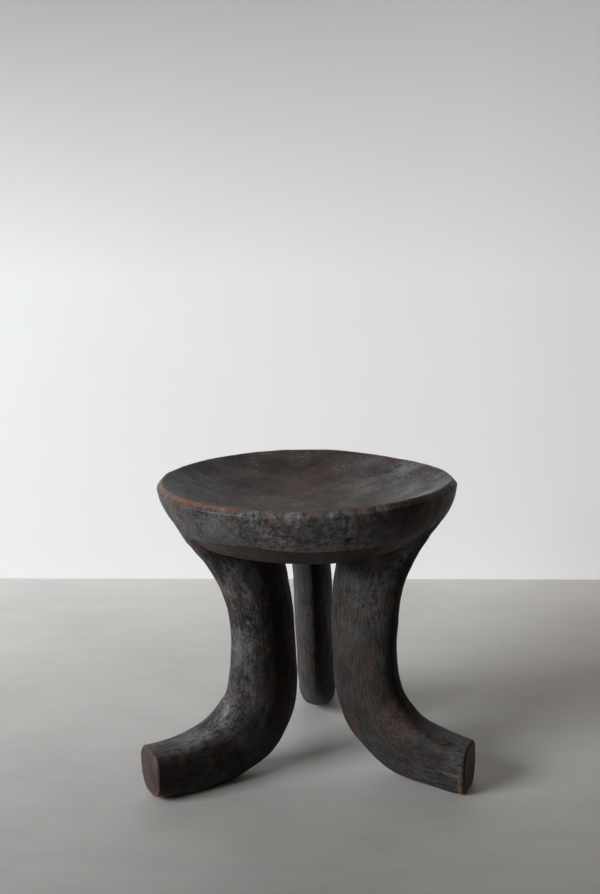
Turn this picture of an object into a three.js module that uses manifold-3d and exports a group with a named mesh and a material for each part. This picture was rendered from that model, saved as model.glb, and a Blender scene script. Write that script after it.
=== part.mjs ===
// A three-legged stool with a dished round seat, hewn from one block of hardwood.
// Millimetres, +Z up, the floor at Z 0. +Y points away from the sitter's front, along the rear leg.
// The block has no joints: the seat and the three legs are the members that the carver left
// standing, each as its own solid, parted by a hair-thin gap along the crease under the seat.
import * as THREE from "three";
import { mergeVertices } from "three/addons/utils/BufferGeometryUtils.js";
import Module from "manifold-3d";

// Driving dimensions.
const HEIGHT = 335; // floor to the crest of the rim
const RIM_RADIUS = 167.5; // mean radius of the rim's outer edge
const DISH_DEPTH = 38; // crest of the rim down to the middle of the dish
const DISH_FULLNESS = 2.4; // power of the dish's curve: higher is flatter in the middle
const RIM_LIP = 5; // width of the worn crest of the rim
const RIM_WEAR = 6; // crest of the rim down to its widest line
const BAND_DEPTH = 44.5; // crest of the rim down to the ridge round the seat's side
const BAND_INSET = 17.5; // how far the ridge stands inside the rim
const BAND_BULGE = 3.5; // how far the band swells past straight
const RIDGE_STEP = 3; // from the ridge in and down to the edge of the bowl under the seat
const BOWL_FULLNESS = 0.8; // power of the bowl's curve: lower is flatter in the middle
const SEAT_DEPTH = 76; // crest of the rim down to the middle of the underside
const PARTING_GAP = 0.3; // between the seat and each leg

// The carver worked by eye, so the rim is not a true circle. Each wave adds
// size * cos(lobes * (angle - peak)), with angles in degrees round the seat from +X.
const RIM_WAVES = [
  { lobes: 2, size: 4.8, peak: 75 },
  { lobes: 3, size: 2.9, peak: -25 },
];
const LIFT_WAVES = [
  { lobes: 1, size: 0.9, peak: -18 },
  { lobes: 2, size: 1.5, peak: -30 },
  { lobes: 3, size: 0.8, peak: -34 },
];
const RIDGE_INSET_WAVES = [{ lobes: 1, size: 5, peak: 180 }];
const RIDGE_DEPTH_WAVES = [{ lobes: 5, size: 2.4, peak: -83 }];

const SEAT_SEGMENTS = 72;
const DISH_RINGS = 9;
const BOWL_TURNS = [0, 12, 25, 38, 52, 68, 90]; // degrees in from the bowl's edge to its middle
const LEG_SIDES = 26;
const LEG_RINGS = 34;
const CENTRE_LINE_STEPS = 160;

// Each leg is one centre line that turns outwards as it goes down, with a section hewn round it.
// azimuth: where the leg stands round the seat, in degrees from +X.
// top: the centre line's distance from the seat's axis where it starts, TOP_DEPTH below the rim.
// headings: the centre line's direction at equal steps along length, in degrees from straight
// down, positive outwards. depths: half the section's size along the radius, at equal steps.
// shift and splay: how far the centre line lies to the leg's left at its top, and gains by its foot.
// lean: how far the flat end of the foot leans out at its top, in degrees.
const TOP_DEPTH = 27;
const LEG_HALF_WIDTHS = [24, 23, 23, 24.5]; // half the section's size across the radius
const LEGS = {
  left_front_leg: {
    azimuth: -150,
    top: 113,
    length: 398.5,
    headings: [-42, -27.5, -12, -2.5, 8.5, 55.5, 83, 95.5],
    depths: [45, 41.5, 38.5, 41, 46.5, 34, 25.5],
    shift: 0,
    splay: -1,
    lean: 6,
  },
  right_front_leg: {
    azimuth: -24,
    top: 108,
    length: 371.5,
    headings: [-32.5, -21.5, -7.5, 3, 8.5, 44.5, 76.5, 85.5],
    depths: [44, 41, 39, 37.5, 39.5, 33.5, 27.5],
    shift: 4,
    splay: 0,
    lean: -3,
  },
  rear_leg: {
    azimuth: 89.5,
    top: 112,
    length: 371,
    headings: [-38, -24, -10, 3.5, 19.5, 44.5, 71.5, 93],
    depths: [43.5, 42, 41, 40, 38, 34.5, 30],
    shift: -1,
    splay: -15,
    lean: 5,
  },
};

// The section is a superellipse, square-shouldered on its outer side and, above the bend, drawn
// to a soft keel on the side that faces the seat's axis. Between FOOT_STARTS, as shares of the
// leg's length, the keel gives way to the rounded sole and the top of the foot turns squarer.
const OUTER_POWERS = { leg: 2.4, foot: 3.4 };
const INNER_POWERS = { leg: 1.55, foot: 2.8 };
const FOOT_STARTS = [0.62, 0.87];
const END_STARTS = [0.75, 1];

const wasm = await Module();
wasm.setup();

const radians = THREE.MathUtils.degToRad;
const waveSum = (waves, angle) =>
  waves.reduce((sum, w) => sum + w.size * Math.cos(w.lobes * (angle - radians(w.peak))), 0);

// A smooth run through equally spaced values, read at a share from 0 to 1.
function runThrough(values) {
  const curve = new THREE.SplineCurve(values.map((v, i) => new THREE.Vector2(i, v)));
  return (share) => curve.getPoint(share).y;
}

// A closed geometry as a manifold-3d solid, with points nearer than WELD made one, and back.
const WELD = 1e-3;

function solidFrom(geometry) {
  geometry.deleteAttribute("normal");
  geometry.deleteAttribute("uv");
  const merged = mergeVertices(geometry, WELD);
  return new wasm.Manifold(
    new wasm.Mesh({
      numProp: 3,
      vertProperties: merged.attributes.position.array,
      triVerts: new Uint32Array(merged.index.array),
    }),
  );
}

function geometryFrom(solid) {
  const mesh = solid.getMesh();
  const geometry = new THREE.BufferGeometry();
  geometry.setAttribute("position", new THREE.BufferAttribute(mesh.vertProperties, 3));
  geometry.setIndex(new THREE.BufferAttribute(mesh.triVerts, 1));
  return geometry;
}

// The seat's outline from the middle of the dish, over the rim and down to the middle of the
// underside. Each point has a radius, a depth below the rim's crest, and band: 0 on the rim, 1 on
// and below the ridge, which says how much of the ridge's own waves it takes.
function seatOutline() {
  const points = [];
  const dishRadius = RIM_RADIUS - RIM_LIP;
  for (let i = 0; i <= DISH_RINGS; i++) {
    const share = i / DISH_RINGS;
    const depth = DISH_DEPTH * (1 - share ** DISH_FULLNESS);
    points.push({ radius: dishRadius * share, depth, band: 0 });
  }
  // The worn crest is a rounded corner, drawn by the point a third of the way in.
  points.push({ radius: RIM_RADIUS - RIM_LIP / 3, depth: RIM_WEAR / 15, band: 0 });
  points.push({ radius: RIM_RADIUS, depth: RIM_WEAR, band: 0 });
  const middle = (RIM_WEAR + BAND_DEPTH) / 2;
  points.push({ radius: RIM_RADIUS - BAND_INSET / 2 + BAND_BULGE, depth: middle, band: 0.5 });
  const ridge = RIM_RADIUS - BAND_INSET;
  points.push({ radius: ridge, depth: BAND_DEPTH, band: 1 });
  // The underside is a shallow bowl: an ellipse whose edge starts under the ridge.
  const bowlTop = BAND_DEPTH + RIDGE_STEP;
  for (const turn of BOWL_TURNS) {
    const radius = turn === 90 ? 0 : (ridge - RIDGE_STEP) * Math.cos(radians(turn));
    const depth = bowlTop + (SEAT_DEPTH - bowlTop) * Math.sin(radians(turn)) ** BOWL_FULLNESS;
    points.push({ radius, depth, band: 1 });
  }
  return points;
}

// The outline turned round the axis, then pushed out of round by the waves. Points nearer the
// axis take less of each wave. grow moves the band and the underside outwards, which makes the
// cutter that keeps the parting gap.
function seatGeometry(grow = 0) {
  const outline = seatOutline();
  const turned = outline.map((p) => new THREE.Vector2(p.radius, -p.depth)).reverse();
  const bands = outline.map((p) => p.band).reverse();
  const geometry = new THREE.LatheGeometry(turned, SEAT_SEGMENTS);
  geometry.rotateX(Math.PI / 2);
  const position = geometry.attributes.position;
  for (let i = 0; i < position.count; i++) {
    const band = bands[i % bands.length];
    const x = position.getX(i);
    const y = position.getY(i);
    const radius = Math.hypot(x, y);
    const angle = Math.atan2(y, x);
    const share = (radius / RIM_RADIUS) ** 2;
    const inset = band * waveSum(RIDGE_INSET_WAVES, angle);
    const out = share * (waveSum(RIM_WAVES, angle) - inset) + (radius > WELD ? grow : 0);
    const drop = share * band * waveSum(RIDGE_DEPTH_WAVES, angle) + grow;
    const lift = share * waveSum(LIFT_WAVES, angle);
    position.setXYZ(
      i,
      (radius + out) * Math.cos(angle),
      (radius + out) * Math.sin(angle),
      HEIGHT + position.getZ(i) + lift - drop,
    );
  }
  return geometry;
}

// Points along a leg's centre line: its distance from the axis and its height, found by adding up
// equal steps along the headings.
function centreLine(leg) {
  const heading = runThrough(leg.headings.map(radians));
  const step = leg.length / CENTRE_LINE_STEPS;
  const points = [new THREE.Vector2(leg.top, HEIGHT - TOP_DEPTH)];
  for (let i = 0; i < CENTRE_LINE_STEPS; i++) {
    const turn = heading((i + 0.5) / CENTRE_LINE_STEPS);
    const last = points[i];
    points.push(new THREE.Vector2(last.x + step * Math.sin(turn), last.y - step * Math.cos(turn)));
  }
  return { points, heading };
}

// A unit cylinder bent along the centre line: its length becomes the leg's length, and its circle
// becomes the section there.
function legGeometry(leg) {
  const { points, heading } = centreLine(leg);
  const depthAt = runThrough(leg.depths);
  const widthAt = runThrough(LEG_HALF_WIDTHS);
  const geometry = new THREE.CylinderGeometry(1, 1, 1, LEG_SIDES, LEG_RINGS);
  const position = geometry.attributes.position;
  const azimuth = radians(leg.azimuth);
  for (let i = 0; i < position.count; i++) {
    const share = THREE.MathUtils.clamp(0.5 - position.getY(i), 0, 1);
    const reach = Math.min(1, Math.hypot(position.getX(i), position.getZ(i)));
    const round = Math.atan2(position.getZ(i), position.getX(i));
    const foot = THREE.MathUtils.smoothstep(share, ...FOOT_STARTS);
    const powers = Math.cos(round) > 0 ? OUTER_POWERS : INNER_POWERS;
    const power = 2 / THREE.MathUtils.lerp(powers.leg, powers.foot, foot);
    const along = Math.sign(Math.cos(round)) * Math.abs(Math.cos(round)) ** power;
    const across = Math.sign(Math.sin(round)) * Math.abs(Math.sin(round)) ** power;
    const centre = points[Math.round(share * CENTRE_LINE_STEPS)];
    const end = THREE.MathUtils.smoothstep(share, ...END_STARTS);
    const turn = heading(share) - radians(leg.lean) * end;
    const depth = reach * depthAt(share) * along;
    const radial = centre.x + depth * Math.cos(turn);
    const side = leg.shift + leg.splay * share - reach * widthAt(share) * across;
    position.setXYZ(
      i,
      radial * Math.cos(azimuth) - side * Math.sin(azimuth),
      radial * Math.sin(azimuth) + side * Math.cos(azimuth),
      centre.y + depth * Math.sin(turn),
    );
  }
  return geometry;
}

const wood = new THREE.MeshStandardMaterial({ color: 0x2f2a28, roughness: 0.55, metalness: 0 });
const stool = new THREE.Group();

const seat = new THREE.Mesh(geometryFrom(solidFrom(seatGeometry())), wood.clone());
seat.name = "seat";
stool.add(seat);

// Each leg runs up into the seat and down past the floor, so the seat and the floor trim it.
const seatCutter = solidFrom(seatGeometry(PARTING_GAP));
const floorBlock = new THREE.BoxGeometry(3 * HEIGHT, 3 * HEIGHT, HEIGHT);
floorBlock.translate(0, 0, -HEIGHT / 2);
const floorCutter = solidFrom(floorBlock);
for (const [name, leg] of Object.entries(LEGS)) {
  const trimmed = solidFrom(legGeometry(leg)).subtract(seatCutter).subtract(floorCutter);
  const largest = trimmed.decompose().reduce((a, b) => (a.volume() > b.volume() ? a : b));
  const mesh = new THREE.Mesh(geometryFrom(largest), wood.clone());
  mesh.name = name;
  stool.add(mesh);
}

// The part's origin is on the floor, under the middle of the whole stool.
const box = new THREE.Box3().setFromObject(stool);
const middle = box.getCenter(new THREE.Vector3());
stool.position.set(-middle.x, -middle.y, 0);

export default stool;
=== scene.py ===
"""A low three-legged stool, hewn from one block of dark hardwood.

A round dished seat stands on three legs that curve out into long feet. The carver left all four
members standing in one block, so there is nothing to assemble: the seat is made first, and each
leg is then grown up into its underside.
"""

import math

import bpy
import numpy as np
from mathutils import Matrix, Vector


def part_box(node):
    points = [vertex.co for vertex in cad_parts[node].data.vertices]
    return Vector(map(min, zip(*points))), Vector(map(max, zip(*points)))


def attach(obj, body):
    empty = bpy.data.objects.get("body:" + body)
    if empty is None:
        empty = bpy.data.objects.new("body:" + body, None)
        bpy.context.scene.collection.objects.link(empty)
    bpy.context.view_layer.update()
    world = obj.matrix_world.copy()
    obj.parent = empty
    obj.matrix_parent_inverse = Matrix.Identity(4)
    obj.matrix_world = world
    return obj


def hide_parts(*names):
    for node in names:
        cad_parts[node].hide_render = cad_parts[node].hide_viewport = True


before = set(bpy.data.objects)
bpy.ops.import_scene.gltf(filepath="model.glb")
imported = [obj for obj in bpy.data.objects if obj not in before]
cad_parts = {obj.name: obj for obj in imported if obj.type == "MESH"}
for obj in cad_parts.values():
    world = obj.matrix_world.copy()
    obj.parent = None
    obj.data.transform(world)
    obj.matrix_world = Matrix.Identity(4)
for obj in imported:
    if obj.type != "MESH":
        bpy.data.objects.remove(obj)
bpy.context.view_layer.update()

# ---------------------------------------------------------------------------------------------
# Seat. A thick disc of the log, dished on top and left with a sloping band round its side. The
# band ends in a ridge, under which the wood is pared away to a shallow bowl. Years of sitting
# have polished the dish, and the rim has lost its dark skin where hands take hold of it.
# ---------------------------------------------------------------------------------------------

# Lengths are in millimetres, and angles round the seat are in radians from +X.
MM = 0.001
RIM_RADIUS = 167.5
DISH_DEPTH = 38
DISH_FULLNESS = 2.4  # the power by which the dish rises from its middle
RIM_LIP = 5.5  # how wide the worn edge of the rim is
RIM_WEAR = 5.5  # and how far it drops
BAND_INSET = 17.5
BAND_BULGE = 2.6
RIDGE_STEP = 2.2  # how far the underside starts inside the ridge
RIDGE_RADIUS = RIM_RADIUS - BAND_INSET
RIDGE_SWAY = 5  # how far the ridge and the underside are set towards +X
BEVEL_SLOPE = 1.0
BEVEL_EASE = 4  # how softly the bevel under the ridge runs into the bowl
BOWL_RISE = 14.6
SEAT_DEPTH = 75.5  # from the rim to the bottom of the underside
# The depth of the ridge under the rim, every 30 degrees round the seat from +X.
RIDGE_DEPTHS = [43, 43, 44, 45, 45, 45, 45, 47, 42.5, 44.5, 44.5, 41.5]
# Where the ridge dips to meet the flank of a leg: degrees, extra depth and spread in degrees.
BROWS = [(184, 8, 9), (-4, 5, 9), (106, 5, 8), (73, 5, 8)]
SEAT_COLUMNS = 700
DISH_ROWS, RIM_ROWS, BAND_ROWS, UNDER_ROWS = 44, 14, 36, 40


def turning(angle, waves):
    """The sum of size * cos(lobes * (angle - peak)) over waves of (lobes, size, peak degrees)."""
    return sum(size * np.cos(lobes * (angle - math.radians(peak))) for lobes, size, peak in waves)


def rim_waves(angle):
    """How far the rim swings out of round at an angle round the seat."""
    return turning(angle, [(1, 1.4, -90), (2, 4.8, 75), (3, 2.9, -25), (4, 0.6, 9), (5, 0.55, 6)])


def rim_lift(angle):
    """How far the rim rises and falls at an angle round the seat."""
    return turning(angle, [(1, 0.9, -18), (2, 1.5, -30), (3, 0.8, -34)])


def run_through(values, share, closed=False):
    """A Catmull-Rom curve through equally spaced values, read at shares from 0 to 1.

    Between two values the curve is the cubic that has their mean chord slopes at its ends.
    """
    values = np.asarray(values, float)
    last = len(values) if closed else len(values) - 1
    place = np.clip(share, 0, 1) * last
    first = np.minimum(place.astype(int), last - 1)
    step = place - first

    def value(index):
        return values[index % last] if closed else values[np.clip(index, 0, last)]

    before, start, end, after = (value(first + k) for k in (-1, 0, 1, 2))
    leave, arrive = (end - before) / 2, (after - start) / 2
    cubic = 2 * start - 2 * end + leave + arrive
    square = 3 * end - 3 * start - 2 * leave - arrive
    return ((cubic * step + square) * step + leave) * step + start


def away_from(angle, at):
    """The turn from one angle to another, from -pi to pi."""
    return (angle - at + math.pi) % (2 * math.pi) - math.pi


def hill(distance, spread, power=2):
    """A bump 1 high at distance 0, that falls as exp(-(distance / spread) ** power)."""
    return np.exp(-((distance / spread) ** power))


def ridge_depth(angle):
    """The ridge's depth under the rim: it runs through RIDGE_DEPTHS and dips at the BROWS."""
    depth = run_through(RIDGE_DEPTHS, (angle / (2 * math.pi)) % 1, closed=True)
    for at, dip, spread in BROWS:
        depth = depth + dip * hill(away_from(angle, math.radians(at)), math.radians(spread))
    return depth


def under_depth(radius, ridge):
    """The underside's depth under the rim: the lesser of a straight bevel and a bowl, eased.

    The bowl is a paraboloid. The lesser of two depths is half their sum less half their gap, and
    the gap is rounded off as the square root of gap squared + BEVEL_EASE squared.
    """
    bevel = ridge + BEVEL_SLOPE * (RIDGE_RADIUS - RIDGE_STEP - radius)
    bowl = SEAT_DEPTH - BOWL_RISE * (radius / RIDGE_RADIUS) ** 2
    return (bevel + bowl - np.sqrt((bowl - bevel) ** 2 + BEVEL_EASE**2)) / 2


def ridge_waves(angle):
    """How far the ridge and the underside swing out of round at an angle round the seat."""
    return rim_waves(angle) + RIDGE_SWAY * np.cos(angle)


def seat_point(radius, depth, banded, angle):
    """A point of the seat: a turned profile swung out of round, more so the nearer to the rim.

    The swing grows as the square of the radius. banded, from 0 at the rim to 1 at the ridge and
    below it, adds the ridge's own sway.
    """
    share = (radius / RIM_RADIUS) ** 2
    reach = radius + share * (rim_waves(angle) + banded * RIDGE_SWAY * np.cos(angle))
    height = seat_height + share * rim_lift(angle) - depth
    return np.stack([reach * np.cos(angle), reach * np.sin(angle), height], -1)


def band_profile(side, ridge):
    """The band's radius and depth at a share of the way from the rim down to the ridge.

    It is a straight slope with a parabola on it that stands BAND_BULGE proud halfway down.
    """
    radius = RIM_RADIUS - BAND_INSET * side + 4 * BAND_BULGE * side * (1 - side)
    return radius, RIM_WEAR + (ridge - RIM_WEAR) * side


def underside(x, y):
    """The height of the seat's underside over a point, with the ridge's waves undone by steps."""
    angle, reach = np.arctan2(y, x), np.hypot(x, y)
    sway = ridge_waves(angle)
    radius = reach
    for _ in range(5):
        radius = reach - (radius / RIM_RADIUS) ** 2 * sway
    lift = (radius / RIM_RADIUS) ** 2 * rim_lift(angle)
    return seat_height + lift - under_depth(radius, ridge_depth(angle))


def ease(share, low, high):
    """A smooth step from 0 at low to 1 at high: 3 t squared - 2 t cubed."""
    step = np.clip((share - low) / (high - low), 0, 1)
    return step * step * (3 - 2 * step)


def lumps(points, size, seed, waves=24):
    """A smooth random swell about 1 high: a sum of plane waves that are each about size long."""
    random = np.random.default_rng(seed)
    heading = random.normal(size=(3, waves))
    heading /= np.linalg.norm(heading, axis=0)
    pitch = 2 * math.pi / (size * random.uniform(0.7, 1.5, waves))
    phase = random.uniform(0, 2 * math.pi, waves)
    return np.sin(points @ (heading * pitch) + phase).sum(-1) * math.sqrt(2 / waves)


def scoops(across, along, size, spans, seed):
    """Shallow hollows left by a blade: the squared distance to the nearest of many cut centres.

    The centres lie on a staggered grid and are shaken off it. size is a cut's width and length,
    spans the width and length that are covered, and the width wraps round. The distance is
    counted in half sizes, so it is 0 in a hollow and about 1 on the ridge between two.
    """
    random = np.random.default_rng(seed)
    counts = [max(2, round(span / step)) for span, step in zip(spans, size)]
    column, row = np.meshgrid(np.arange(counts[0]), np.arange(-1, counts[1] + 1))
    cuts = np.stack([column + 0.5 * (row % 2), row + 0.0], -1).reshape(-1, 2)
    cuts += random.uniform(-0.38, 0.38, cuts.shape)
    nearest = np.full(across.shape, np.inf, np.float32)
    for cut in cuts:
        aside = across / spans[0] * counts[0] - cut[0]
        aside -= np.round(aside / counts[0]) * counts[0]
        ahead = along / spans[1] * counts[1] - cut[1]
        nearest = np.minimum(nearest, 4 * (aside**2 + ahead**2))
    return np.clip(nearest, 0, 1.6)


def normals(points):
    """The outward normals of a grid of rings: the step down crossed with the step round."""
    down = np.gradient(points, axis=0)
    turn = np.roll(points, -1, 1) - np.roll(points, 1, 1)
    normal = np.cross(down, turn)
    return normal / np.maximum(np.linalg.norm(normal, axis=-1, keepdims=True), 1e-9)


def ring_mesh(name, rings, top, bottom, attributes):
    """A closed mesh from rings of points in millimetres, with a point that closes each end."""
    rows, columns = rings.shape[:2]
    ends = [np.reshape(top, (1, 3)), np.reshape(bottom, (1, 3))]
    points = np.concatenate([ends[0], rings.reshape(-1, 3), ends[1]]) * MM
    index = 1 + np.arange(rows * columns).reshape(rows, columns)
    beside = np.roll(index, -1, 1)
    quads = np.stack([index[:-1], index[1:], beside[1:], beside[:-1]], -1).reshape(-1, 4)
    first = np.stack([np.zeros(columns, int), index[0], beside[0]], -1)
    last = np.stack([index[-1], np.full(columns, rows * columns + 1), beside[-1]], -1)
    mesh = bpy.data.meshes.new(name)
    mesh.from_pydata(points.tolist(), [], quads.tolist() + first.tolist() + last.tolist())
    mesh.shade_smooth()
    for key, values in attributes.items():
        vector = values.ndim == 3
        listed = values.reshape(rows * columns, -1).squeeze()
        listed = np.concatenate([values[0, :1], listed, values[-1, :1]])
        layer = mesh.attributes.new(key, "FLOAT_VECTOR" if vector else "FLOAT", "POINT")
        layer.data.foreach_set("vector" if vector else "value", listed.astype(np.float32).ravel())
    piece = bpy.data.objects.new(name, mesh)
    bpy.context.scene.collection.objects.link(piece)
    return piece


def node(tree, kind, inputs, output=0, **settings):
    """Adds a shader node, fills its sockets with numbers or other outputs, and gives an output."""
    made = tree.nodes.new("ShaderNode" + kind)
    for key, value in settings.items():
        setattr(made, key, value)
    for socket, value in inputs.items():
        if isinstance(value, bpy.types.NodeSocket):
            tree.links.new(value, made.inputs[socket])
        else:
            made.inputs[socket].default_value = value
    return made.outputs[output]


def old_wood(name, red, bloom, gloss, streaky):
    """Dark hardwood under a smoked and handled skin.

    Fine streaks follow the grain attribute, and patches and mottling lie in the piece's own
    space. red and bloom say how much of the surface shows red-brown wood and grey wax, and
    streaky how much of the wax lies along the grain. Of the attributes, the wear one bares paler
    orange wood, as real wear and as a painted highlight; the dust one adds to the wax, as real
    dust and as a painted sheen; brown takes the wax off; the painted shade one blackens as painted
    shade and dulls the reflections; and scored scratches.
    """
    body_dark, body_pale = (0.007, 0.006, 0.0052, 1), (0.022, 0.017, 0.0145, 1)
    wax_grey, scratch_pale = (0.19, 0.187, 0.190, 1), (0.20, 0.17, 0.155, 1)
    brown_wood, red_wood = (0.078, 0.041, 0.032, 1), (0.11, 0.045, 0.032, 1)
    bare_wood, painted_shade_colour = (0.155, 0.070, 0.045, 1), (0.006, 0.005, 0.004, 1)
    material = bpy.data.materials.new(name)
    material.use_nodes = True
    tree = material.node_tree
    shader = tree.nodes["Principled BSDF"]
    place = node(tree, "TexCoord", {}, "Object")
    grain = node(tree, "Attribute", {}, "Vector", attribute_name="grain")

    def painted(attribute):
        return node(tree, "Attribute", {}, "Fac", attribute_name=attribute)

    def noise(vector, scale, detail, rough):
        sockets = {"Vector": vector, "Scale": scale, "Detail": detail, "Roughness": rough}
        return node(tree, "TexNoise", sockets)

    def between(value, low, high, start=0.0, end=1.0):
        sockets = {0: value, 1: low, 2: high, 3: start, 4: end}
        return node(tree, "MapRange", sockets, interpolation_type="SMOOTHSTEP")

    def maths(operation, first, second):
        return node(tree, "Math", {0: first, 1: second}, operation=operation)

    def times(first, second):
        return maths("MULTIPLY", first, second)

    def mixture(parts):
        """The sum of pairs of a socket and its share."""
        first, *others = [times(socket, share) for socket, share in parts]
        for other in others:
            first = maths("ADD", first, other)
        return first

    def blend(share, under, over):
        return node(tree, "Mix", {0: share, 6: under, 7: over}, 2, data_type="RGBA")

    wear_and_highlight, brown, painted_shade, dust_and_sheen = (painted(key) for key in ("wear_and_highlight", "brown", "painted_shade", "dust_and_sheen"))
    streak = noise(node(tree, "Mapping", {0: grain, 3: (1, 1, 0.24)}), 300, 5, 0.65)
    fibre = noise(node(tree, "Mapping", {0: grain, 3: (1, 1, 0.08)}), 800, 3, 0.6)
    patch = noise(place, 24, 3, 0.5)
    mottle = noise(place, 170, 6, 0.72)
    speck = noise(place, 520, 3, 0.6)

    # A near-black body, greyed by wax where the noises add up, and all over where the dust
    # attribute is thick: real dust, and on the seat also a painted sheen.
    colour = blend(between(fibre, 0.35, 0.65), body_dark, body_pale)
    wax = mixture([(mottle, 0.8 - streaky), (streak, streaky), (patch, 0.5), (fibre, 0.25)])
    # Brown wood and painted shade both take the wax off.
    unwaxed_or_shaded = times(maths("MAXIMUM", brown, painted_shade), 0.75)
    wax = times(between(wax, 0.66, 0.93), maths("SUBTRACT", 1.0, unwaxed_or_shaded))
    wax = times(wax, between(speck, 0.36, 0.56, 0.45, 1.15))
    wax = times(wax, between(dust_and_sheen, -1.0, 2.0, 0.1 * bloom, bloom))
    caked_dust_and_sheen = times(between(dust_and_sheen, 1.5, 4.5), between(mottle, 0.38, 0.6, 0.25, 1.0))
    colour = blend(maths("MAXIMUM", wax, caked_dust_and_sheen), colour, wax_grey)

    # Brown and red-brown wood shows through the skin in clouds.
    cloud = mixture([(mottle, 0.5), (patch, 0.5)])
    colour = blend(times(brown, between(cloud, 0.42, 0.58, 0.25, 1.0)), colour, brown_wood)
    rust = times(between(noise(place, 34, 5, 0.6), 0.5, 0.66), between(speck, 0.4, 0.6))
    colour = blend(times(rust, red), colour, red_wood)

    # Bare wood shows through at the edges in small broken flecks, and along the seat's ridge as
    # a painted highlight.
    fleck = mixture([(mottle, 0.5), (speck, 0.5)])
    bared = between(maths("ADD", fleck, wear_and_highlight), 0.82, 1.1, 0, 0.85)
    colour = blend(bared, colour, bare_wood)

    # Pale hair scratches, in two sets that cross, and painted shade over all.
    scored = painted("scored")
    for turn in (0.25, 1.4):
        drawn = {0: place, 2: (0, 0, turn), 3: (34, 1, 1)}
        hair = noise(node(tree, "Mapping", drawn, vector_type="TEXTURE"), 520, 1, 0.5)
        hair = times(between(hair, 0.66, 0.74), between(patch, 0.45, 0.6))
        colour = blend(times(hair, scored), colour, scratch_pale)
    colour = blend(times(painted_shade, 0.8), colour, painted_shade_colour)
    roughness = between(mottle, 0.3, 0.7, gloss - 0.06, gloss + 0.16)
    tree.links.new(colour, shader.inputs["Base Color"])
    tree.links.new(roughness, shader.inputs["Roughness"])
    # Painted shade also dulls the specular reflection.
    tree.links.new(between(painted_shade, 0.0, 1.0, 0.3, 0.1), shader.inputs["Specular IOR Level"])

    height = mixture([(streak, 0.7), (fibre, 0.3), (mottle, 0.7), (speck, 0.25)])
    bump = node(tree, "Bump", {"Strength": 0.6, "Distance": 0.0005, "Height": height}, "Normal")
    tree.links.new(bump, shader.inputs["Normal"])
    return material


# The rim's outline places the seat: its box is matched to the middle of the seat in the frame.
once_round = np.linspace(0, 2 * math.pi, 720, endpoint=False)
outline = (RIM_RADIUS + rim_waves(once_round)) * np.stack([np.cos(once_round), np.sin(once_round)])
seat_low, seat_high = (np.array(corner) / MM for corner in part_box("seat"))
seat_middle = (seat_low + seat_high)[:2] / 2 - (outline.max(1) + outline.min(1)) / 2
seat_height = seat_high[2] - rim_lift(once_round).max()

# The shares of the way across the dish, the rim, the band and the underside, row by row.
dish = 1 - (1 - np.linspace(0, 1, DISH_ROWS + 1)[1:]) ** 1.25
lip = np.linspace(0, 1, RIM_ROWS + 1)[1:]
side = np.linspace(0, 1, BAND_ROWS + 1)[1:]
inward = 1 - np.linspace(0, 1, UNDER_ROWS + 1)[:-1] ** 1.6
inward = inward * (1 - RIDGE_STEP / RIDGE_RADIUS)


def by_row(dish_part, rim_part, side_part, under_part):
    """One value for each row of the seat: its four parts one after another, as a column."""
    parts = zip((dish_part, rim_part, side_part, under_part), (dish, lip, side, inward))
    return np.concatenate([part + 0 * rows for part, rows in parts])[:, None]


angle = np.linspace(0, 2 * math.pi, SEAT_COLUMNS, endpoint=False)[None, :]
dish_radius = (RIM_RADIUS - RIM_LIP) * dish
rim_radius = RIM_RADIUS - RIM_LIP * (1 - lip)
radius = by_row(dish_radius, rim_radius, band_profile(side, 0)[0], RIDGE_RADIUS * inward)
banded = by_row(0, 0, side, 1)
ridge = ridge_depth(angle)
depth = np.concatenate(
    [
        (DISH_DEPTH * (1 - dish**DISH_FULLNESS))[:, None] + 0 * angle,
        (RIM_WEAR * lip**1.2)[:, None] + 0 * angle,
        band_profile(side[:, None], ridge)[1],
        under_depth(RIDGE_RADIUS * inward[:, None], ridge),
    ]
)
seat_rings = seat_point(radius, depth, banded, angle)

# Hand work: a slow swell everywhere, broad worn cuts in the dish and upright blade marks on the
# band. The swell fades out towards the middle of the dish, where the rows close up.
DENT_FIELD = 400  # the square that the dents are strewn over
on_dish, on_side, below = by_row(1, 0, 0, 0), by_row(0, 1, 1, 0), by_row(0, 0, 0, 1)
on_band = by_row(0, 0, np.sin(math.pi * side) ** 0.5, 0)
on_rim = by_row(dish**40, 1, np.exp(-side * 9), 0)
round_way = angle * RIM_RADIUS + 0 * depth
cuts = scoops(round_way, depth, size=(11, 34), spans=(2 * math.pi * RIM_RADIUS, 60), seed=3)
across, along = (seat_rings[..., axis] + DENT_FIELD / 2 for axis in (0, 1))
dents = scoops(across, along, size=(30, 24), spans=(DENT_FIELD, DENT_FIELD), seed=4)
swell = 0.35 * lumps(seat_rings, size=70, seed=1) + 0.1 * lumps(seat_rings, size=22, seed=2)
swell = swell * np.minimum(1, radius / 15) + 0.22 * on_band * (cuts - 0.6)
swell = swell + 0.35 * on_dish * (dents - 0.6) * np.minimum(1, (1 - radius / RIM_RADIUS) * 8)

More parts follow.
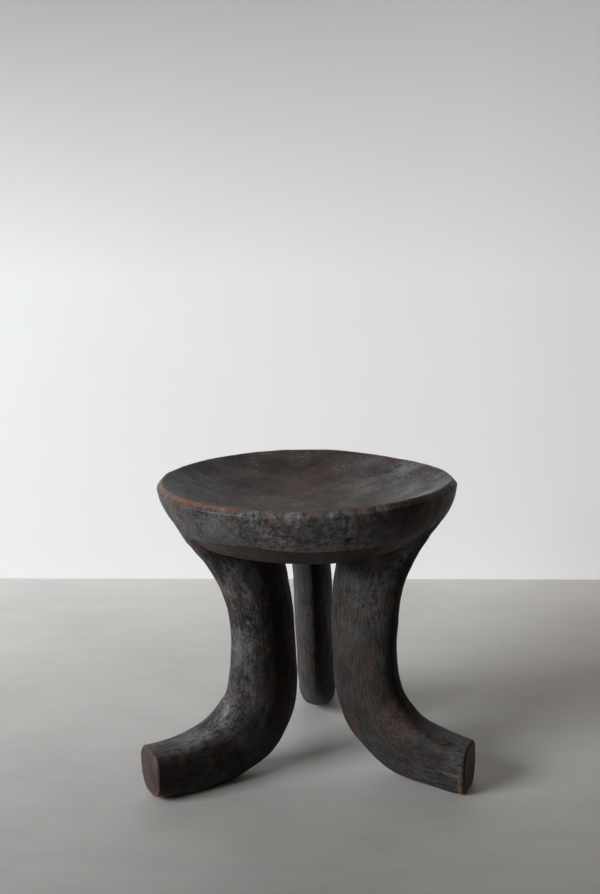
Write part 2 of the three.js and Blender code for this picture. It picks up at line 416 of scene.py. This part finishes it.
# Wear: nicks and soft dents along the rim, more of them at the front left, a crack that runs down
# the front of the band, and a chip under it.
NICKS, FRONT_NICKS = 50, 8
CRACK_ANGLE, CRACK_MIDDLE = -1.327, 20
CHIP_ANGLE, CHIP_MIDDLE = -1.31, 33
random = np.random.default_rng(5)
front_nicks = random.uniform(-2.1, -1.6, FRONT_NICKS)
nick_angle = np.concatenate([front_nicks, random.uniform(-math.pi, math.pi, NICKS)])
nick_width = random.uniform(0.008, 0.022, len(nick_angle))
nick_depth = random.uniform(0.03, 0.32, len(nick_angle))
nicked = 0 * angle
for at, width, deep in zip(nick_angle, nick_width, nick_depth):
    nicked = nicked + deep * hill(away_from(angle, at), width, 4)
crack = hill(away_from(angle, CRACK_ANGLE), 0.011) * hill(depth - CRACK_MIDDLE, 12, 4) * on_side
chip = hill(away_from(angle, CHIP_ANGLE), 0.032) * hill(depth - CHIP_MIDDLE, 4.2) * on_side
swell = swell - nicked * on_rim - 0.9 * crack - 1.3 * chip
seat_rings += normals(seat_rings) * swell[..., None]
seat_rings[..., :2] += seat_middle

# The dark skin is worn off round the rim, most at the front left. Along the ridge the bared wood
# is a painted highlight on its edge.
shallow_nicks = np.minimum(nicked, 0.3) * on_rim
front_left = np.exp(-(away_from(angle, -2.35) ** 2) / 0.35)
edge = by_row(dish**90, 1 - 0.3 * lip**2, 0.7 * np.exp(-side * 14), 0)
# Painted highlight: a thin pale line along the lower edge of the band.
ridge_highlight = by_row(0, 0, np.exp(-(1 - side) * 24), 0)
crest = by_row(dish**60, np.exp(-lip * 3), 0, 0)
seat_wear_and_highlight = edge * (0.27 + 0.22 * front_left) + 0.38 * crest + 0.42 * ridge_highlight
seat_wear_and_highlight = seat_wear_and_highlight - 0.8 * shallow_nicks

# The skin is browner in the middle and the back of the dish, round the right of the band and
# under the ridge, where neither hands nor wax have greyed it.
dish_x, dish_y = radius * np.cos(angle), radius * np.sin(angle)
middle_dish = hill(dish_x + 20, 70) * hill(dish_y - 50, 90)
right_band = hill(away_from(angle, -0.2), 0.7, 4)
seat_brown = middle_dish * on_dish + right_band * on_side + 0.45 * below

# Pale clouds on the right of the dish and on the front of the band are dust, and also a painted
# sheen where the window light falls on them. Dust fills the nicks and the crack too.
right_dish = hill(dish_x - 105, 55) * hill(dish_y - 20, 80)
front_band = hill(away_from(angle, -1.33), 0.48, 4)
left_band = hill(away_from(angle, -2.2), 0.6, 4)
seat_dust_and_sheen = 3.1 * right_dish * on_dish + (3.0 * front_band + 0.3 * left_band) * on_side
seat_dust_and_sheen = seat_dust_and_sheen + 6 * shallow_nicks + 6 * crack

# Shade is painted on: darkest on the side that faces +X, away from the window, and in the groove
# under the ridge, over the rest of the underside and in the chip.
facing_right = ease(normals(seat_rings)[..., 0], 0.15, 0.75)
seat_painted_shade = (0.75 * (1 - on_dish) * facing_right + 0.8 * chip) * (1 - 0.9 * crest)
seat_painted_shade = np.maximum(seat_painted_shade, 0.9 * below * hill(RIDGE_RADIUS - radius, 3))
seat_painted_shade = np.maximum(seat_painted_shade, 0.35 * below)
seat = ring_mesh(
    "dished_seat",
    seat_rings,
    (*seat_middle, seat_height - DISH_DEPTH),
    (*seat_middle, seat_height - SEAT_DEPTH),
    {
        "grain": seat_rings * MM,
        "wear_and_highlight": seat_wear_and_highlight,
        "brown": seat_brown,
        "painted_shade": seat_painted_shade,
        "dust_and_sheen": seat_dust_and_sheen,
        "scored": 0.85 * on_dish + 0 * angle,
    },
)
seat.data.materials.append(old_wood("seat_wood", red=0.6, bloom=1.0, gloss=0.46, streaky=0.25))
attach(seat, "root")
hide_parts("seat")

# ---------------------------------------------------------------------------------------------
# Left front leg. Hewn in a curve from the same block, it comes out of the seat by the ridge,
# drops, and sweeps out into a long foot cut off square. Its inner side is left as a keel, its
# outer side is rounded, and the floor has worn a flat under the foot.
# ---------------------------------------------------------------------------------------------

LEG_COLUMNS = 192
FILLET_ROWS, SHANK_ROWS, END_ROWS, FACE_ROWS = 10, 300, 10, 16
LEG_HALF_WIDTHS = [24, 23, 23, 24.5]
LEG_TOP_DEPTH = 27  # under the rim
OUTER_POWERS = (2.4, 3.4)  # how square the section is on its outer side: in the leg, in the foot
INNER_POWERS = (1.55, 2.8)  # and on its inner side
FOOT_STARTS = (0.62, 0.87)
END_WEAR = 3  # how far the edge of the cut end is rounded
GIRTH_RADIUS = 32  # a leg's mean radius, by which the blade marks are spread round it


def on_underside(points):
    """Points moved up or down to the seat's underside, after they are brought inside its ridge."""
    angle, reach = np.arctan2(points[..., 1], points[..., 0]), np.hypot(*points[..., :2].T).T
    ridge_reach = RIDGE_RADIUS + (RIDGE_RADIUS / RIM_RADIUS) ** 2 * ridge_waves(angle)
    flat = points[..., :2] * np.minimum(1, (ridge_reach - 2 * RIDGE_STEP) / reach)[..., None]
    return np.concatenate([flat, underside(flat[..., 0], flat[..., 1])[..., None]], -1)


def leg_rings(azimuth, top, length, headings, depths, shift, splay, lean, dusts, seed):
    """The rings of a leg, from inside the seat to its foot's end, and the leg's attributes.

    The centre line turns by its headings, added up in small steps. Round it lies a superellipse,
    whose radius at a turn is 1 / (|cos| ** p + |sin| ** p) ** (1 / p), stretched to the half
    depth and the half width. Each column starts where it meets the seat, in a curved fillet.

    top is how far out the line starts, shift and splay are how far aside it starts and drifts,
    lean tips the cut end, and dusts says how dusty the leg is along its length.
    """
    steps = 400
    middle = (np.arange(steps) + 0.5) / steps
    heading = run_through(np.radians(headings), middle)
    out = top + np.concatenate([[0], np.cumsum(np.sin(heading))]) * length / steps
    down = np.concatenate([[0], np.cumsum(np.cos(heading))]) * length / steps
    marks = np.linspace(0, 1, steps + 1)
    side_way = np.array([-math.sin(azimuth), math.cos(azimuth)])
    out_way = np.array([math.cos(azimuth), math.sin(azimuth)])
    turn = np.linspace(0, 2 * math.pi, LEG_COLUMNS, endpoint=False)[None, :]

    def section(share, shrink=0.0, ahead=0.0):
        foot = ease(share, *FOOT_STARTS)
        powers = [low + (high - low) * foot for low, high in (OUTER_POWERS, INNER_POWERS)]
        power = np.where(np.cos(turn) > 0, *powers)
        reach = (np.abs(np.cos(turn)) ** power + np.abs(np.sin(turn)) ** power) ** (-1 / power)
        tilt = run_through(np.radians(headings), share) - math.radians(lean) * ease(share, 0.75, 1)
        deep = (run_through(depths, share) - shrink) * reach * np.cos(turn)
        wide = (run_through(LEG_HALF_WIDTHS, share) - shrink) * reach * np.sin(turn)
        radial = np.interp(share, marks, out) + deep * np.cos(tilt) + ahead * np.sin(tilt)
        height = seat_height - LEG_TOP_DEPTH - np.interp(share, marks, down)
        height = height + deep * np.sin(tilt) - ahead * np.cos(tilt)
        aside = shift + splay * share + wide
        flat = radial[..., None] * out_way + aside[..., None] * side_way
        straight = np.stack([deep, wide, length * share + ahead + 0 * deep], -1)
        return np.concatenate([flat, height[..., None]], -1), straight

    # Each column comes out of the seat at the last share at which it is above the underside. A
    # fillet follows, tight on the outer side and wide in the crease on the inner side.
    trial = np.linspace(0, 0.5, 500)[:, None] + 0 * turn
    tried, _ = section(trial)
    inside = tried[..., 2] > underside(tried[..., 0], tried[..., 1])
    inside[0] = True
    start = trial[len(trial) - 1 - np.argmax(inside[::-1], 0), 0][None, :]
    corner, corner_grain = section(start)
    corner = on_underside(corner)
    fillet = 6 - 4 * np.clip(np.cos(turn), 0, 1) + 5 * np.clip(-np.cos(turn), 0, 1)
    shank_start = start + 1.3 * fillet / length
    foot_of_fillet, _ = section(shank_start)
    away = normals(section(np.concatenate([start, start + 0.01]))[0])[0][None]
    away[..., 2] = 0
    away /= np.linalg.norm(away, axis=-1, keepdims=True)
    crown = on_underside(corner + away * fillet[..., None]) + [0, 0, 0.4]

    # The outermost columns flow on over the ridge and die out against the band above it.
    flush = ease(np.cos(turn), 0.45, 0.8)[..., None]
    bearing = np.arctan2(corner[..., 1], corner[..., 0])
    brow = np.stack([np.cos(bearing), np.sin(bearing), 0 * bearing], -1)
    ridge_here = ridge_depth(bearing)
    on_edge = seat_point(*band_profile(1.0, ridge_here), 1.0, bearing) + RIDGE_STEP * brow
    on_band = seat_point(*band_profile(0.72, ridge_here), 0.72, bearing)
    corner = corner + flush * (on_edge - corner)
    crown = crown + flush * (on_band - crown)
    bend = np.linspace(1, 0, FILLET_ROWS)[:, None, None]
    curve = (1 - bend) ** 2 * foot_of_fillet + 2 * bend * (1 - bend) * corner + bend**2 * crown
    curve_grain = corner_grain + 0 * curve
    curve_grain[..., 2] += corner[..., 2] - curve[..., 2]
    buried = crown + (1 - flush) * [0, 0, 4] - flush * 4 * brow

    run = np.linspace(0, 1, SHANK_ROWS + 1)[1:, None]
    last = 1 - END_WEAR / length
    shank, shank_grain = section(shank_start + (last - shank_start) * run)
    worn = np.linspace(0, math.pi / 2, END_ROWS + 1)[1:, None]
    full = np.full_like(worn + turn, last)
    edge_rows, edge_grain = section(full, END_WEAR * (1 - np.cos(worn)), END_WEAR * np.sin(worn))
    rings = np.concatenate([buried, curve, shank, edge_rows])
    grain = np.concatenate([curve_grain[:1], curve_grain, shank_grain, edge_grain])
    hub = rings[-1].mean(0)
    inner = np.linspace(1, 0, FACE_ROWS + 1)[1:-1, None, None]
    rings = np.concatenate([rings, hub + (rings[-1:] - hub) * inner])
    end_grain = grain[-1:].mean(1, keepdims=True) * (1 - inner) + grain[-1:] * inner
    grain = np.concatenate([grain, end_grain])

    # Blade marks along the leg, a slow swell, and a rougher cut across the end.
    row = np.arange(len(rings))[:, None]
    end_row = FILLET_ROWS + SHANK_ROWS
    shank_rows = ease(row, FILLET_ROWS, FILLET_ROWS + 14.0)
    face_rows = row > len(rings) - FACE_ROWS
    round_way = turn * GIRTH_RADIUS + 0 * grain[..., 2]
    girth = 2 * math.pi * GIRTH_RADIUS
    cuts = scoops(round_way, grain[..., 2], size=(13, 40), spans=(girth, length), seed=seed)
    swell = 0.5 * lumps(rings, size=60, seed=seed + 1) + 0.1 * lumps(rings, size=18, seed=seed + 2)
    swell = (swell + 0.22 * (cuts - 0.6)) * shank_rows
    swell = np.where(face_rows, 0.1 * lumps(rings, size=9, seed=seed + 3), swell)
    rings = rings + normals(rings) * swell[..., None]
    rings[..., :2] += seat_middle
    rings[..., 2] = np.maximum(rings[..., 2], 0)

    # The skin is worn off the edge of the cut end, most near the floor, and off the sole. Shade is
    # painted on the side that faces +X, away from the window, and in the crease under the seat.
    edge_of_end = (row > end_row - 4) & ~face_rows
    sole = np.exp(-np.maximum(rings[..., 2] - 1, 0) / 5) * (row > FILLET_ROWS)
    low = np.exp(-rings[..., 2] / 14)
    wear_and_highlight = edge_of_end * (0.28 + 0.5 * low) + 0.12 * sole + face_rows * (0.06 + 0.34 * low)
    brown = 0.6 * ease(row, end_row - 2.0, end_row + 2.0) + 0 * wear_and_highlight
    crease = np.exp(-np.maximum(0, row - FILLET_ROWS) / 14) * (1 - flush[..., 0])
    painted_shade = np.maximum(0.84 * ease(normals(rings)[..., 0], 0.05, 0.7), 0.8 * crease)
    painted_shade = painted_shade * (1 - face_rows)
    dust_and_sheen = run_through(dusts, grain[..., 2] / length)
    return rings, {"grain": grain * MM, "wear_and_highlight": wear_and_highlight, "brown": brown, "painted_shade": painted_shade, "dust_and_sheen": dust_and_sheen}


def leg(name, node_name, finish, **form):
    """Builds a leg's mesh from its form, attaches it to the root body and hides the frame's own
    leg.
    """
    rings, attributes = leg_rings(**form)
    top, bottom = rings[0].mean(0) + [0, 0, 4], rings[-1].mean(0)
    piece = ring_mesh(name, rings, top, bottom, attributes)
    piece.data.materials.append(finish)
    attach(piece, "root")
    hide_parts(node_name)


leg_wood = old_wood("leg_wood", red=0.45, bloom=0.9, gloss=0.55, streaky=0.42)
leg(
    "left_leg",
    "left_front_leg",
    leg_wood,
    azimuth=math.radians(-150),
    top=113,
    length=398.5,
    headings=[-42, -27.5, -12, -2.5, 8.5, 55.5, 83, 95.5],
    depths=[45, 41.5, 38.5, 41, 46.5, 34, 25.5],
    shift=0,
    splay=-1,
    lean=6,
    dusts=[1.2, 1.2, 0.9, 0.6, 1.9, 0.9, 0.2],
    seed=20,
)

# ---------------------------------------------------------------------------------------------
# Right front leg. The same block and the same cuts, a little shorter and set closer in.
# ---------------------------------------------------------------------------------------------

leg(
    "right_leg",
    "right_front_leg",
    leg_wood,
    azimuth=math.radians(-24),
    top=108,
    length=371.5,
    headings=[-32.5, -21.5, -7.5, 3, 8.5, 44.5, 76.5, 85.5],
    depths=[44, 41, 39, 37.5, 39.5, 33.5, 27.5],
    shift=4,
    splay=0,
    lean=-3,
    dusts=[1.2, 1.2, 0, -0.8, -0.8, -0.5, 0.3],
    seed=30,
)

# ---------------------------------------------------------------------------------------------
# Rear leg. It turns out sooner than the front pair, and its foot runs back behind the seat.
# ---------------------------------------------------------------------------------------------

leg(
    "back_leg",
    "rear_leg",
    leg_wood,
    azimuth=math.radians(89.5),
    top=112,
    length=371,
    headings=[-38, -24, -10, 3.5, 19.5, 44.5, 71.5, 93],
    depths=[43.5, 42, 41, 40, 38, 34.5, 30],
    shift=-1,
    splay=-15,
    lean=5,
    dusts=[0.3, 0.2, 0, -0.2, -0.2, 0, 0],
    seed=40,
)

# ---------------------------------------------------------------------------------------------
# Floor and wall. A pale, faintly clouded floor, painted lighter towards the wall as painted
# light, and a white wall close behind the stool, painted darker towards its top as painted shade.
# The wall lets the camera see through it from behind, and it stays solid to the light.
# ---------------------------------------------------------------------------------------------

STAGE_REACH = 6
FLOOR_DROP = 0.0002  # keeps the floor clear of the soles
WALL_BEHIND = 0.673
WALL_HEIGHT = 3


def sheet(name, corners, colour, cloudy, roughness, painted_light_falloff):
    """A flat stage surface whose colour is clouded, and swept along X.

    The falloff argument paints light and shade into the colour: an axis, two places along it in
    metres, and how strong the colour is at each.
    """
    mesh = bpy.data.meshes.new(name)
    mesh.from_pydata(corners, [], [(0, 1, 2, 3)])
    piece = bpy.data.objects.new(name, mesh)
    bpy.context.scene.collection.objects.link(piece)
    material = bpy.data.materials.new(name)
    material.use_nodes = True
    tree = material.node_tree
    place = node(tree, "TexCoord", {}, "Object")
    cloud = node(tree, "TexNoise", {"Vector": place, "Scale": 5, "Detail": 6, "Roughness": 0.6})
    swept = node(tree, "Mapping", {0: place, 3: (9, 26, 9)})
    sweep = node(tree, "TexNoise", {"Vector": swept, "Scale": 1, "Detail": 9, "Roughness": 0.75})
    cloud = node(tree, "Mix", {0: 0.5, 2: cloud, 3: sweep})
    cloud = node(tree, "MapRange", {0: cloud, 1: 0.4, 2: 0.6})
    darker = tuple(part * (1 - 2 * cloudy) for part in colour[:3]) + (1,)
    clouded = node(tree, "Mix", {0: cloud, 6: darker, 7: colour}, 2, data_type="RGBA")
    axis, start, end, start_strength, end_strength = painted_light_falloff
    along = node(tree, "SeparateXYZ", {0: place}, axis)
    sockets = {0: along, 1: start, 2: end, 3: start_strength, 4: end_strength}
    strength = node(tree, "MapRange", sockets)
    painted_falloff_colour = node(tree, "VectorMath", {0: clouded, 3: strength}, operation="SCALE")
    shader = tree.nodes["Principled BSDF"]
    tree.links.new(painted_falloff_colour, shader.inputs["Base Color"])
    shader.inputs["Roughness"].default_value = roughness
    mesh.materials.append(material)
    return tree


corners = ((-1, -1), (1, -1), (1, 1), (-1, 1))
sheet(
    "floor",
    [(x * STAGE_REACH, y * STAGE_REACH, -FLOOR_DROP) for x, y in corners],
    colour=(0.365, 0.355, 0.342, 1),
    cloudy=0.06,
    roughness=0.5,
    # Painted light: the floor grows lighter towards the wall.
    painted_light_falloff=("Y", -0.45, 0.65, 0.72, 2.05),
)
wall_tree = sheet(
    "wall",
    [(x * STAGE_REACH, WALL_BEHIND, (z + 1) / 2 * WALL_HEIGHT) for x, z in corners],
    colour=(0.75, 0.76, 0.775, 1),
    cloudy=0.01,
    roughness=0.9,
    # Painted shade: the wall grows darker towards its top.
    painted_light_falloff=("Z", 0.55, 1.05, 1, 0.4),
)

# The wall glows faintly, more so to the right, and the camera sees through it from behind.
wall_shader = wall_tree.nodes["Principled BSDF"]
spot = node(wall_tree, "SeparateXYZ", {0: node(wall_tree, "TexCoord", {}, "Object")}, "X")
glow = node(wall_tree, "MapRange", {0: spot, 1: -0.6, 2: 0.3, 3: 0.1, 4: 0.26})
wall_shader.inputs["Emission Color"].default_value = (1.0, 0.97, 0.94, 1)
wall_tree.links.new(glow, wall_shader.inputs["Emission Strength"])
behind = node(wall_tree, "NewGeometry", {}, "Backfacing")
seen = node(wall_tree, "LightPath", {}, "Is Camera Ray")
through = node(wall_tree, "Math", {0: behind, 1: seen}, operation="MULTIPLY")
clear = node(wall_tree, "BsdfTransparent", {})
mixed = node(wall_tree, "MixShader", {0: through, 1: wall_shader.outputs[0], 2: clear})
wall_tree.links.new(mixed, wall_tree.nodes["Material Output"].inputs["Surface"])

# ---------------------------------------------------------------------------------------------
# Light. One large cool window light from the left and a little in front, and a warm dim room.
# ---------------------------------------------------------------------------------------------

window = bpy.data.lights.new("window", "AREA")
window.shape = "RECTANGLE"
window.size, window.size_y = 1.0, 0.9
window.energy = 60
window.color = (0.95, 0.98, 1.0)
lamp = bpy.data.objects.new("window", window)
bpy.context.scene.collection.objects.link(lamp)
WINDOW_AWAY, WINDOW_AIM = 2.3, 0.15
toward = np.array([-0.85, -0.5, 0.46])
toward /= np.linalg.norm(toward)
lamp.location = tuple(toward * WINDOW_AWAY + [0, 0, WINDOW_AIM])
lamp.rotation_mode = "QUATERNION"
lamp.rotation_quaternion = Vector(toward).to_track_quat("Z", "Y")

world = bpy.data.worlds.new("room")
bpy.context.scene.world = world
world.use_nodes = True
world.node_tree.nodes["Background"].inputs["Color"].default_value = (1.0, 0.8, 0.6, 1)
world.node_tree.nodes["Background"].inputs["Strength"].default_value = 0.09
bpy.context.scene.view_settings.view_transform = "Standard"

# ---------------------------------------------------------------------------------------------
# Camera. It stands a little over a metre in front of the stool and looks down at it slightly.
# ---------------------------------------------------------------------------------------------

CAMERA_AWAY, CAMERA_HEIGHT = 1.094, 0.5566
DOWNWARD, TURNED_LEFT = 9.82, 0.39

camera = bpy.data.cameras.new("camera")
camera.sensor_width = 36
camera.lens = 40.27
viewer = bpy.data.objects.new("camera", camera)
bpy.context.scene.collection.objects.link(viewer)
viewer.location = (seat_middle[0] * MM, seat_middle[1] * MM - CAMERA_AWAY, CAMERA_HEIGHT)
viewer.rotation_euler = (math.radians(90 - DOWNWARD), 0, math.radians(TURNED_LEFT))
bpy.context.scene.camera = viewer
